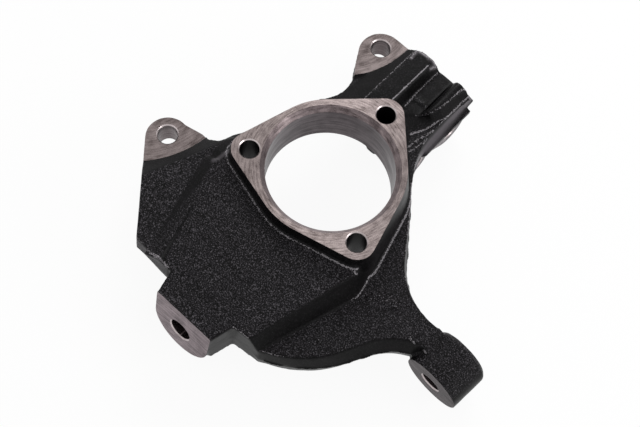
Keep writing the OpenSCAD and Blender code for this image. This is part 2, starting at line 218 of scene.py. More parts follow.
@dataclass(frozen=True)
class CoatedCasting:
    """Black dip coat over sand-cast iron.

    Level faces follow the sand and show as fine pale specks on black, partly painted sparkle where
    the grains' tops would catch the light. Drafted walls and the strut arm are smoother, with a
    satin sheen, and some walls and edges get a painted sheen of grey. Where the part is handled and
    knocked, the coat wears through to grey iron, and the same grey is painted as highlight along
    edges and creases.

    Attributes:
        name: Name of the material.
        pit: Colour between the sand grains.
        body: Colour of the coat.
        grain_sparkle: Colour of the tops of the grains, partly painted sparkle where the tops would
            catch the light.
        glint: Painted glint: colour of the few brightest grains, standing in for light on their
            tops.
        bare_and_highlight: Colour of the iron where the coat wears away, also painted as highlight
            along edges and creases.
        painted_sheen_grey: Painted sheen: a satin grey mixed into the coat on walls and edges,
            standing in for their reflection.
        grain_mm: Size of a sand grain, from 0.3 mm in the mould to what shows in the picture.
        cloud_mm: Size of the patches where the coat is a little thicker.
    """

    name: str = "black_coated_sand_cast_iron"
    pit: str = "#030303"
    body: str = "#121112"
    grain_sparkle: str = "#272528"
    glint: str = "#605d61"
    bare_and_highlight: str = "#938f93"
    painted_sheen_grey: str = "#5c585c"
    grain_mm: float = 0.8
    cloud_mm: float = 16.0

    def build(self) -> bpy.types.Material:
        """Builds the material.

        Returns:
            The finished material.
        """
        material, tree, shader = new_material(self.name)
        place = add_node(tree, "TexCoord").outputs["Object"]
        wear_and_highlight = add_node(tree, "Attribute", attribute_name="wear_and_highlight").outputs["Fac"]
        grit_and_painted_light = add_node(tree, "Attribute", attribute_name="grit_and_painted_light").outputs["Fac"]
        painted_sheen = add_node(tree, "Attribute", attribute_name="painted_sheen").outputs["Fac"]
        # A noise's features are about 1 / scale wide, and its detail adds some of half that size.
        sand = add_node(
            tree,
            "TexNoise",
            {"Vector": place, "Scale": 1 / (self.grain_mm * MM), "Detail": 1.0, "Roughness": 0.6},
        ).outputs["Fac"]
        cloud = add_node(
            tree,
            "TexNoise",
            {"Vector": place, "Scale": 1 / (self.cloud_mm * MM), "Detail": 3.0},
        ).outputs["Fac"]
        # Pale tops and glints: sand texture with painted sparkle, lighter where the tops would
        # catch the light.
        grit_sparkle_colour = add_node(
            tree,
            "ValToRGB",
            {"Fac": sand},
            [(0.33, self.pit), (0.46, self.body), (0.57, self.grain_sparkle), (0.73, self.glint)],
        ).outputs["Color"]
        smooth = add_node(
            tree, "ValToRGB", {"Fac": cloud}, [(0.35, "#050505"), (0.65, "#0e0d0e")]
        ).outputs["Color"]
        share = add_node(
            tree, "MapRange", {"Value": grit_and_painted_light, "To Min": 0.12, "To Max": 1.0}
        ).outputs[0]
        skin = add_node(
            tree, "Mix", {"Factor": share, 6: smooth, 7: grit_sparkle_colour}, data_type="RGBA"
        ).outputs[2]
        # Painted sheen: a satin grey mixed into the coat where walls and edges would reflect the
        # light.
        skin = add_node(
            tree, "Mix", {"Factor": painted_sheen, 6: skin, 7: linear(self.painted_sheen_grey)}, data_type="RGBA"
        ).outputs[2]
        # The pale places, wear and painted highlight, start at the grains' tops and spread as their
        # share grows.
        height = add_node(tree, "Math", {0: sand, 1: wear_and_highlight}, operation="ADD").outputs[0]
        wear_and_highlight_share = add_node(
            tree, "MapRange", {"Value": height, "From Min": 0.98, "From Max": 1.18}
        ).outputs[0]
        colour = add_node(
            tree, "Mix", {"Factor": wear_and_highlight_share, 6: skin, 7: linear(self.bare_and_highlight)}, data_type="RGBA"
        ).outputs[2]
        rough = add_node(
            tree, "MapRange", {"Value": grit_and_painted_light, "To Min": 0.36, "To Max": 0.6}
        ).outputs[0]
        depth = add_node(
            tree, "MapRange", {"Value": grit_and_painted_light, "To Min": 0.12, "To Max": 0.8}
        ).outputs[0]
        bump = add_node(
            tree, "Bump", {"Strength": depth, "Distance": 0.4 * MM, "Height": sand}
        ).outputs[0]
        tree.links.new(colour, shader.inputs["Base Color"])
        tree.links.new(rough, shader.inputs["Roughness"])
        tree.links.new(bump, shader.inputs["Normal"])
        shader.inputs["Specular IOR Level"].default_value = 0.07
        return material


class Lay(Enum):
    """The way the tool marks run on a machined surface."""

    RINGS = "rings on a face"
    FEED = "feed marks along a bore"


@dataclass(frozen=True)
class MachinedIron:
    """Bare cast iron after milling, turning or boring: warm grey metal with fine tool marks.

    The marks catch the light across their run, so that a turned face shows pale and dark fans.

    Attributes:
        name: Name of the material.
        centre: Point that the tool marks run round, in metres.
        axis: Axis of the tool.
        dark: Colour of the duller marks.
        bright: Colour of the polished marks.
        feed_mm: Distance between the marks that show, coarser than the real 0.2 to 0.4 mm.
        streak: Number of changes along a mark in one radian.
        roughness: Mean roughness of the metal.
        stretch: How far a highlight is drawn out across the marks, from 0 to 1.
        lay: Way the marks run.
        metal: How metallic it is, less than 1 under a film of oxide.
        second_pass: Radius past which the cutter's second pass left paler marks, in metres.
    """

    name: str
    centre: Triple = (0.0, 0.0, 0.0)
    axis: Triple = (0.0, 0.0, 1.0)
    dark: str = "#514847"
    bright: str = "#a19593"
    feed_mm: float = 1.0
    streak: float = 5.0
    roughness: float = 0.42
    stretch: float = 0.7
    lay: Lay = Lay.RINGS
    metal: float = 1.0
    second_pass: float = 1.0

    def build(self) -> bpy.types.Material:
        """Builds the material.

        Returns:
            The finished material.
        """
        material, tree, shader = new_material(self.name)
        place = add_node(tree, "TexCoord").outputs["Object"]
        offset = add_node(
            tree, "VectorMath", {0: place, 1: self.centre}, operation="SUBTRACT"
        ).outputs[0]
        turn = Vector(self.axis).rotation_difference(UP).to_euler()
        flat = add_node(tree, "Mapping", {"Vector": offset, "Rotation": turn}).outputs[0]
        parts = add_node(tree, "SeparateXYZ", {0: flat}).outputs
        level = add_node(tree, "CombineXYZ", {0: parts[0], 1: parts[1]}).outputs[0]
        radius = add_node(tree, "VectorMath", {0: level}, operation="LENGTH").outputs["Value"]
        ahead = add_node(tree, "VectorMath", {0: level}, operation="NORMALIZE").outputs[0]
        around = add_node(
            tree, "VectorMath", {0: ahead, "Scale": self.streak}, operation="SCALE"
        ).outputs[0]
        across = add_node(
            tree,
            "Math",
            {0: radius if self.lay is Lay.RINGS else parts[2], 1: 1 / (self.feed_mm * MM)},
            operation="MULTIPLY",
        ).outputs[0]
        step = add_node(tree, "CombineXYZ", {2: across}).outputs[0]
        path = add_node(tree, "VectorMath", {0: around, 1: step}, operation="ADD").outputs[0]
        marks = add_node(
            tree, "TexNoise", {"Vector": path, "Scale": 1.0, "Detail": 3.0, "Roughness": 0.7}
        ).outputs["Fac"]
        cloud = add_node(
            tree, "TexNoise", {"Vector": place, "Scale": 1 / (8 * MM), "Detail": 3.0}
        ).outputs["Fac"]
        speck = add_node(
            tree, "TexNoise", {"Vector": place, "Scale": 1 / (0.8 * MM), "Detail": 1.0}
        ).outputs["Fac"]
        tone = add_node(tree, "Math", {0: cloud, 1: 0.6, 2: marks}, operation="MULTIPLY_ADD")
        tone = add_node(
            tree, "Math", {0: speck, 1: 0.35, 2: tone.outputs[0]}, operation="MULTIPLY_ADD"
        ).outputs[0]
        past = add_node(
            tree, "Math", {0: radius, 1: self.second_pass}, operation="GREATER_THAN"
        ).outputs[0]
        tone = add_node(
            tree, "Math", {0: past, 1: 0.12, 2: tone}, operation="MULTIPLY_ADD"
        ).outputs[0]
        # The three noises add up to 0.98 on average, and the ramp ends where they seldom reach.
        share = add_node(
            tree, "MapRange", {"Value": tone, "From Min": 0.74, "From Max": 1.22}
        ).outputs[0]
        colour = add_node(
            tree, "ValToRGB", {"Fac": share}, [(0.0, self.dark), (1.0, self.bright)]
        ).outputs["Color"]
        rough = add_node(
            tree,
            "MapRange",
            {
                "Value": marks,
                "From Min": 0.3,
                "From Max": 0.7,
                "To Min": self.roughness + 0.08,
                "To Max": self.roughness - 0.08,
            },
        ).outputs[0]
        bump = add_node(
            tree, "Bump", {"Strength": 0.3, "Distance": 0.04 * MM, "Height": marks}
        ).outputs[0]
        run = add_node(
            tree, "VectorMath", {0: self.axis, 1: offset}, operation="CROSS_PRODUCT"
        ).outputs[0]
        tree.links.new(colour, shader.inputs["Base Color"])
        tree.links.new(rough, shader.inputs["Roughness"])
        tree.links.new(bump, shader.inputs["Normal"])
        tree.links.new(run, shader.inputs["Tangent"])
        shader.inputs["Metallic"].default_value = self.metal
        shader.inputs["Anisotropic"].default_value = self.stretch
        shader.inputs["Anisotropic Rotation"].default_value = 0.25
        return material


@dataclass(frozen=True)
class Hole:
    """A drilled or bored hole that is cut into the raw casting.

    Attributes:
        mouth: Centre of its mouth on the machined face.
        axis: Direction out of the mouth.
        radius: Radius of the hole.
        plug: Depth that is filled with stock before the casting is rounded.
        depth: Depth of the cut.
        chamfer: Width of the chamfer at the mouth.
        finish: Number of the material slot of its wall.
    """

    mouth: Vector
    axis: Vector
    radius: float
    plug: float
    depth: float
    chamfer: float
    finish: int


@dataclass(frozen=True)
class MilledFace:
    """A flat face that is milled or turned.

    Attributes:
        name: What it is.
        place: A point on it.
        normal: Direction it faces.
        reach: Distance from the place within which it lies.
        stock: Thickness of the stock on the raw casting.
        widen: Factor by which the stock is made wider, to run into a wall beside it.
    """

    name: str
    place: Vector
    normal: Vector
    reach: float
    stock: float
    widen: float = 1.0

    def holds(self, centre: Vector, normal: Vector) -> bool:
        """Says whether a polygon lies on this face.

        Args:
            centre: Centre of the polygon.
            normal: Its normal.

        Returns:
            True if it does.
        """
        offset = centre - self.place
        return (
            normal.dot(self.normal) > 0.999
            and abs(offset.dot(self.normal)) < 0.02 * MM
            and offset.length < self.reach
        )


@dataclass(frozen=True)
class Strip:
    """A strip of the cast skin that differs from the rest.

    Attributes:
        points: Points along its middle, in millimetres.
        half_width: Distance from the middle at which it ends, in millimetres.
        wear_and_highlight: Share of pale iron along it, from coat that wears off and from painted
            highlight.
        rough: How lumpy the sand left it, from 0 to 1.
        painted_sheen: Share of painted sheen along it, a smooth satin grey standing in for
            reflection, from 0 to 1.
    """

    points: tuple[Triple, ...]
    half_width: float
    wear_and_highlight: float = 0.0
    rough: float = 0.0
    painted_sheen: float = 0.0

    def nearness(self, place: np.ndarray) -> np.ndarray:
        """Measures how well inside the strip each point lies.

        Args:
            place: Rows of points in millimetres.

        Returns:
            1 in the middle of the strip, falling to 0 at its edge.
        """
        far = np.full(len(place), np.inf)
        for start, end in zip(self.points, self.points[1:]):
            run = np.subtract(end, start)
            along = np.clip((place - start) @ run / (run @ run), 0, 1)
            far = np.minimum(far, np.linalg.norm(place - start - along[:, None] * run, axis=1))
        return np.clip(1.6 * (1 - far / self.half_width), 0, 1)


# Edges with pale grey iron, from the hub outwards: coat that handling and blasting wore off,
# and painted highlight where edges and creases catch the light.
WEAR_AND_HIGHLIGHT_STRIPS = (
    # Upper end of the crest, with painted sheen, and the corner of the block at the flange's lower
    # lobe.
    Strip(((-62.5, -47, -9.5), (-60, -36, -9)), 2.6, 0.3, painted_sheen=0.6),
    Strip(((57.5, -41, -8.7), (60.3, -40.9, -9), (61, -40.4, -10.5)), 2.2, 0.58),
    # Foot of the flange on the low plate, with a painted highlight along the crease.
    Strip(
        ((65.2, -31.5, -24.2), (67.6, -39.4, -25), (68.7, -46, -24.3), (68, -51.5, -25)), 1.7, 0.6
    ),
    # Lower corners of the block, right and then left, and painted sheen on the wall below the left
    # corner.
    Strip(((27.7, -120.5, -13.4), (32.5, -120.2, -13.5), (39.5, -119.6, -14)), 1.3, 0.64),
    Strip(((-60.5, -120.5, -14), (-52, -121, -14), (-46, -121.5, -13)), 1.6, 0.55),
    Strip(((-46, -122, -12.5), (-40, -121, -11.2), (-31, -120.8, -14)), 2.4, 0.6, 0.5),
    Strip(((-60, -122, -20), (-45, -123.5, -20), (-36, -122, -20)), 7.0, 0.3, painted_sheen=0.5),
    # Left edges of the block and of the lower ear, with painted sheen along the ear's edge.
    Strip(((-112, -63, -22), (-100, -76.4, -14.2), (-60.5, -120.5, -14)), 1.2, 0.5),
    Strip(((-117.5, -52, -24), (-112, -63, -24), (-100, -76.5, -24)), 1.6, 0.4, painted_sheen=0.5),
    # Lower and right edges of the low plate.
    Strip(((48.5, -117.5, -25), (57, -113.4, -25), (66, -107.6, -25)), 1.3, 0.52),
    Strip(
        ((49.1, 30.2, -25), (60, 14.5, -25), (70.8, -0.5, -25), (82.4, -14.3, -25),
         (97.9, -23.3, -25)), 1.3, 0.55,
    ),
    # Corners between the low plate and the tie rod boss.
    Strip(((111.5, -43.5, -25), (117, -45, -25.4)), 1.8, 0.55),
    Strip(((124.4, -43.1, -28), (125.8, -43.2, -28.2)), 2.2, 0.7),
    # Left edge of the upper ear.
    Strip(((-56.6, 94.2, -23.6), (-48.3, 80.3, -23.6), (-43, 72.5, -23.6)), 1.3, 0.52),
)

# Edges and rough places of the strut arm, with wear and painted highlight along the edges.
ARM_STRIPS = (
    # End of the tall ridge, with painted sheen, and then its two long edges.
    Strip(
        ((-21.3, 108.4, -14), (-21.9, 116, -14), (-16.7, 117.2, -14.1), (-12.3, 117.6, -14)),
        1.7, 0.6, painted_sheen=0.9,
    ),
    Strip(
        ((-12.3, 117.6, -14), (-7, 117.8, -15.5), (-5.1, 117.4, -18.6), (-6.3, 113.3, -16.5)),
        2.0, 0.62, painted_sheen=0.9,
    ),
    Strip(((-8.5, 113, -14), (-8.5, 74, -14)), 1.1, 0.72),
    Strip(((-23.2, 114, -14), (-23.2, 61, -14)), 1.1, 0.52),
    # Left edge of the raised top.
    Strip(((-2.5, 117, -23), (-2.5, 95, -23), (-1.3, 81, -23)), 1.5, 0.6, 0.3),
    # Top edge of the second ridge.
    Strip(
        ((8.8, 79.8, -23), (12.5, 82.5, -20.5), (16.3, 86, -16.9), (18.9, 93.5, -16.1)), 1.6, 0.47
    ),
    Strip(((18.9, 93.5, -16.1), (19.8, 103.4, -16.4), (20, 111.6, -16.5)), 1.4, 0.5),
    Strip(((20, 111.6, -16.5), (20.8, 117, -16.8), (23.9, 118.9, -18.2)), 1.6, 0.62),
    # Foot of the second ridge.
    Strip(
        ((15.8, 67.5, -23.9), (20.7, 78.4, -25), (22.7, 88.9, -24.9), (24.9, 99.4, -24.9)),
        1.6, 0.64,
    ),
    Strip(((24.9, 99.4, -24.9), (25.3, 107.6, -24.2), (25.8, 117.7, -22.5)), 1.8, 0.64),
    # Right edge of the arm, and painted sheen on the wall below it.
    Strip(((24.9, 121, -25.5), (25.2, 94, -25), (26.7, 70.3, -25), (33.4, 52.2, -25)), 1.3, 0.6),
    Strip(
        ((26.1, 123.7, -30), (26.6, 115.6, -30.5), (27, 101.3, -32), (27.5, 88, -33.5)),
        6.0, painted_sheen=1.0,
    ),
    Strip(((27.5, 88, -33.5), (28, 77, -34), (29.5, 68, -34), (35, 52.2, -32)), 6.5, painted_sheen=1.0),
    # Rough sand at the root of the arm and on the raised top.
    Strip(((20.5, 58, -25), (22.2, 68, -25), (25, 80.8, -25)), 1.9, 0.56, 0.9),
    Strip(((23.8, 57, -25), (25.4, 65, -25), (26, 72, -25)), 1.5, 0.54, 0.8),
    Strip(((-0.6, 90.7, -23), (5, 90.6, -23), (10, 90.3, -22.6)), 3.2, 0.34, 0.8),
)

# Rough places on the low plate, where the mould had loose sand.
ROUGH_PATCHES = (
    Strip(((74, -44, -25), (80, -36, -25), (90, -33, -25)), 8.5, 0.36, 1.0),
    Strip(((69.5, -86, -25), (72, -86.6, -25)), 3.2, 0.35, 1.0),
)


@dataclass
class RawCasting:
    """The casting as it leaves the sand: the CAD solid with stock on its machined places.

    Lengths are in metres.

    Attributes:
        voxel: Size of the grid on which the skin is made anew.
        smooth_passes: Number of smoothing passes that round its edges.
        kept_share: Share of the triangles that is kept.
        stock: Height of the plugs over their faces.
        plug_wall: Thickness that a plug has more than its hole.
        sunk: Depth to which a slab of stock is sunk into its face.
        part_line: Depth of the mould's parting line below the hub face.
        flash: Half the height of the flash along the parting line.
        foot_top: Height above which the flange's foot gets no painted highlight.
        foot_gap: Distance of the painted highlight line from the flange's drafted wall.
        foot_width: Width over which that line fades.
        boss_start: Place along X where the tie rod boss begins.
        arm_start: Place along Y where the strut arm begins.
        flange_r: Radius of the flange's outline between its lobes.
        lobe_circle_r: Radius of the circle on which the lobes' centres lie.
        lobe_r: Radius of a lobe.
        flange_draft: Draft of the flange's wall.
        obj: The casting's object.
    """

    voxel: float = 1.0 * MM
    smooth_passes: int = 3
    kept_share: float = 0.68
    stock: float = 3.5 * MM
    plug_wall: float = 2.2 * MM
    sunk: float = 0.4 * MM
    part_line: float = 37 * MM
    flash: float = 0.9 * MM
    foot_top: float = -6 * MM
    foot_gap: float = 1.7 * MM
    foot_width: float = 0.8 * MM
    boss_start: float = 118 * MM
    arm_start: float = 50 * MM
    flange_r: float = 51.3 * MM
    lobe_circle_r: float = 55.5 * MM
    lobe_r: float = 12.3 * MM
    flange_draft: float = math.radians(9)
    obj: bpy.types.Object = field(init=False)

    def build(self, holes: list[Hole], faces: list[MilledFace]) -> bpy.types.Object:
        """Makes the rounded casting with stock over every machined place.

        Args:
            holes: Holes to fill with stock.
            faces: Faces that get stock.

        Returns:
            The casting's object.
        """
        node = frame["nodes"]["knuckle"]
        self.obj = bpy.data.objects.new("knuckle_casting", node.data.copy())
        bpy.context.scene.collection.objects.link(self.obj)
        self.obj.data.materials.clear()
        activate(self.obj)
        bpy.ops.object.mode_set(mode="EDIT")
        bpy.ops.mesh.select_all(action="SELECT")
        bpy.ops.mesh.remove_doubles(threshold=0.001 * MM)
        bpy.ops.object.mode_set(mode="OBJECT")
        for face in faces:
            self.add_stock(face)
        plugs = [
            rod(
                h.mouth + h.axis * self.stock,
                -h.axis,
                h.plug + self.stock,
                h.radius + self.plug_wall,
            )
            for h in holes
        ]
        deselect_all()
        for plug in plugs:
            plug.select_set(True)
        self.obj.select_set(True)
        bpy.context.view_layer.objects.active = self.obj
        bpy.ops.object.join()
        apply_modifier(self.obj, "REMESH", mode="VOXEL", voxel_size=self.voxel, adaptivity=0.0)
        # The end of the strut arm keeps crisper edges.
        past = read_vectors(self.obj.data.vertices, "co")[:, 1] - self.arm_start
        self.add_group("round", 1 - 0.6 * np.clip((past / MM - 12) / 14, 0, 1))
        apply_modifier(
            self.obj, "SMOOTH", factor=0.5, iterations=self.smooth_passes, vertex_group="round"
        )
        self.mark_skin()
        self.displace("skin", 9 * MM, 0.3 * MM, 0.5)
        self.displace("lumps", 2.8 * MM, 3.2 * MM, 0.4)
        self.displace("flash", 6 * MM, 2.4 * MM, 0.35)
        apply_modifier(self.obj, "DECIMATE", ratio=self.kept_share)
        return self.obj

    def add_stock(self, face: MilledFace) -> None:
        """Lays a slab of stock on one machined face of the copy.

        Args:
            face: The face, found by its plane and reach.
        """
        mesh = self.obj.data
        activate(self.obj)
        bpy.ops.object.mode_set(mode="EDIT")
        bpy.ops.mesh.select_all(action="DESELECT")
        bpy.ops.object.mode_set(mode="OBJECT")
        bpy.context.tool_settings.mesh_select_mode = (False, False, True)
        found = 0
        for polygon in mesh.polygons:
            polygon.select = face.holds(polygon.center, polygon.normal)
            found += polygon.select
        log.info("stock on %s: %d faces", face.name, found)
        bpy.ops.object.mode_set(mode="EDIT")
        bpy.ops.mesh.duplicate()
        lift = face.normal * (face.stock + self.sunk)
        bpy.ops.mesh.extrude_region_move(TRANSFORM_OT_translate={"value": lift})
        bpy.ops.mesh.select_linked()
        bpy.ops.transform.translate(value=face.normal * -self.sunk)
        if face.widen != 1.0:
            bpy.ops.transform.resize(
                value=(face.widen, face.widen, 1.0), center_override=face.place
            )
        bpy.ops.object.mode_set(mode="OBJECT")

    def from_flange(self, place: np.ndarray) -> np.ndarray:
        """Measures the distance from the outline of the hub flange's face, seen along its axis.

        Args:
            place: Rows of points in metres.

        Returns:
            The distance in metres, less than 0 inside the outline.
        """
        slope = (self.flange_r - self.lobe_r) / self.lobe_circle_r
        flat = math.sqrt(1 - slope * slope)
        nearest = np.full(len(place), np.inf)
        for turn in (0, 120, 240):
            a = math.radians(turn)
            x = np.abs(place[:, 0] * math.cos(a) + place[:, 1] * math.sin(a))
            y = place[:, 1] * math.cos(a) - place[:, 0] * math.sin(a)
            along = flat * y - slope * x
            side = flat * x + slope * y - self.flange_r
            disc = np.hypot(x, y) - self.flange_r
            lobe = np.hypot(x, y - self.lobe_circle_r) - self.lobe_r
            far = np.where(along < 0, disc, np.where(along > flat * self.lobe_circle_r, lobe, side))
            nearest = np.minimum(nearest, far)
        return nearest

    def mark_skin(self) -> None:
        """Stores on each vertex the sand's coarseness with its painted sparkle, the wear and
        painted highlight, the painted sheen, and where the skin is uneven.
        """
        mesh = self.obj.data
        place = read_vectors(mesh.vertices, "co")
        normal = read_vectors(mesh.vertices, "normal")
        wear_and_highlight = self.foot_crease_highlight(place, normal)
        lumps = np.zeros(len(place))
        painted_sheen = np.zeros(len(place))
        for strip in WEAR_AND_HIGHLIGHT_STRIPS + ARM_STRIPS + ROUGH_PATCHES:
            near = strip.nearness(place / MM)
            wear_and_highlight = np.maximum(wear_and_highlight, strip.wear_and_highlight * near)
            lumps = np.maximum(lumps, strip.rough * near)
            painted_sheen = np.maximum(painted_sheen, strip.painted_sheen * near)
        grit_and_painted_light = np.maximum(self.grit_and_painted_light(place, normal), wear_and_highlight) * (1 - 0.6 * painted_sheen)
        for name, value in (("wear_and_highlight", wear_and_highlight), ("grit_and_painted_light", grit_and_painted_light), ("painted_sheen", painted_sheen)):
            attribute = mesh.attributes.new(name, "FLOAT", "POINT")
            attribute.data.foreach_set("value", value.astype(np.float32))
        self.add_group("skin", np.full(len(place), 1.0))
        self.add_group("lumps", lumps)
        self.add_group("flash", self.flash_share(place, normal))

    def grit_and_painted_light(self, place: np.ndarray, normal: np.ndarray) -> np.ndarray:
        """Measures how coarse the sand is, with its painted sparkle and painted shade: coarse on
        level faces, smooth on drafted walls.

        Args:
            place: Vertex positions in metres.
            normal: Vertex normals.

        Returns:
            A value from 0 to 1 for each vertex.
        """
        level = np.clip((normal[:, 2] - 0.9) / 0.08, 0, 1)
        round_boss = np.clip((normal[:, 2] - 0.45) / 0.2, 0, 1)
        level = np.where(place[:, 0] > self.boss_start, round_boss, level)
        depth = place[:, 2] / MM
        arm = np.clip((place[:, 1] - self.arm_start) / MM / 14, 0, 1)
        raised = arm * np.clip(depth + 24.4, 0, 1)
        # The last factor gives the deeper faces fewer pale grains, so they show darker: painted
        # shade.
        return level * (1 - 0.92 * raised) * np.interp(depth, (-26, -12), (0.78, 1.0))

    def foot_crease_highlight(self, place: np.ndarray, normal: np.ndarray) -> np.ndarray:
        """Places a painted highlight along the crease at the foot of the hub flange, stronger at
        its right.

        Args:
            place: Vertex positions in metres.
            normal: Vertex normals.

        Returns:
            A value from 0 to 1 for each vertex.
        """
        gap = self.from_flange(place) + place[:, 2] * math.tan(self.flange_draft)
        foot = np.clip(1.5 - np.abs(gap - self.foot_gap) / self.foot_width, 0, 1)
        foot *= (normal[:, 2] > 0.6) * (place[:, 2] < self.foot_top) * (place[:, 1] < 40 * MM)
        return (0.63 + 0.12 * (place[:, 0] > 35 * MM)) * foot

    def flash_share(self, place: np.ndarray, normal: np.ndarray) -> np.ndarray:
        """Measures how near each vertex is to the parting line, on walls that stand free.

        Args:
            place: Vertex positions in metres.
            normal: Vertex normals.

        Returns:
            A value from 0 to 1 for each vertex.
        """
        drop = np.abs(place[:, 2] + self.part_line)
        steep = np.abs(normal[:, 2]) < 0.5
        share = np.clip(1.3 - drop / self.flash, 0, 1) * steep * (self.proud(place, normal) > -0.1)
        # The ends of the casting are left out: both bosses and the end of the strut arm.
        middle = np.abs(place[:, 1] + 10 * MM) < 108 * MM
        return share * (place[:, 0] < self.boss_start) * middle

    def proud(self, place: np.ndarray, normal: np.ndarray) -> np.ndarray:
        """Measures how far each vertex stands out from its surroundings.

        Args:
            place: Vertex positions in metres.
            normal: Vertex normals.

        Returns:
            The distance in millimetres, less than 0 in a hollow.
        """
        mesh = self.obj.data
        ends = np.empty(len(mesh.edges) * 2, np.int64)
        mesh.edges.foreach_get("vertices", ends)
        ends = ends.reshape(-1, 2)
        both = np.concatenate([ends, ends[:, ::-1]])
        count = np.bincount(both[:, 0], minlength=len(place))[:, None]
        soft = place.copy()
        for _ in range(6):
            total = np.zeros_like(soft)
            for axis in range(3):
                total[:, axis] = np.bincount(both[:, 0], soft[both[:, 1], axis], len(place))
            soft = total / count
        return ((place - soft) * normal).sum(1) / MM

    def add_group(self, name: str, weights: np.ndarray) -> None:
        """Adds a vertex group.

        Args:
            name: Its name.
            weights: A weight from 0 to 1 for each vertex.
        """
        group = self.obj.vertex_groups.new(name=name)
        steps = np.round(weights * 10).astype(int)
        for step in range(1, 11):
            chosen = np.nonzero(steps == step)[0]
            if len(chosen):
                group.add(chosen.tolist(), step / 10, "REPLACE")

    def displace(self, group: str, size: float, strength: float, level: float) -> None:
        """Moves the skin in and out by a cloud pattern, as sand leaves it.

        Args:
            group: Vertex group that it moves.
            size: Size of the unevenness.
            strength: Height between its lowest and highest places.
            level: Value of the pattern that stays in place.
        """
        pattern = bpy.data.textures.new(group, "CLOUDS")
        pattern.noise_scale = size
        pattern.noise_depth = 2
        apply_modifier(
            self.obj, "DISPLACE", texture=pattern, texture_coords="LOCAL", vertex_group=group,
            strength=strength, mid_level=level,
        )


class Slot(Enum):
    """Material slots of the casting, in order."""

    COAT = 0
    HUB_FACE = 1
    BORE = 2
    LOWER_EAR = 3
    UPPER_EAR = 4
    BALL_FACE = 5
    TIE_FACE = 6
    PADS = 7
    DRILLED = 8
    CHAMFER = 9
    LEAD_IN = 10


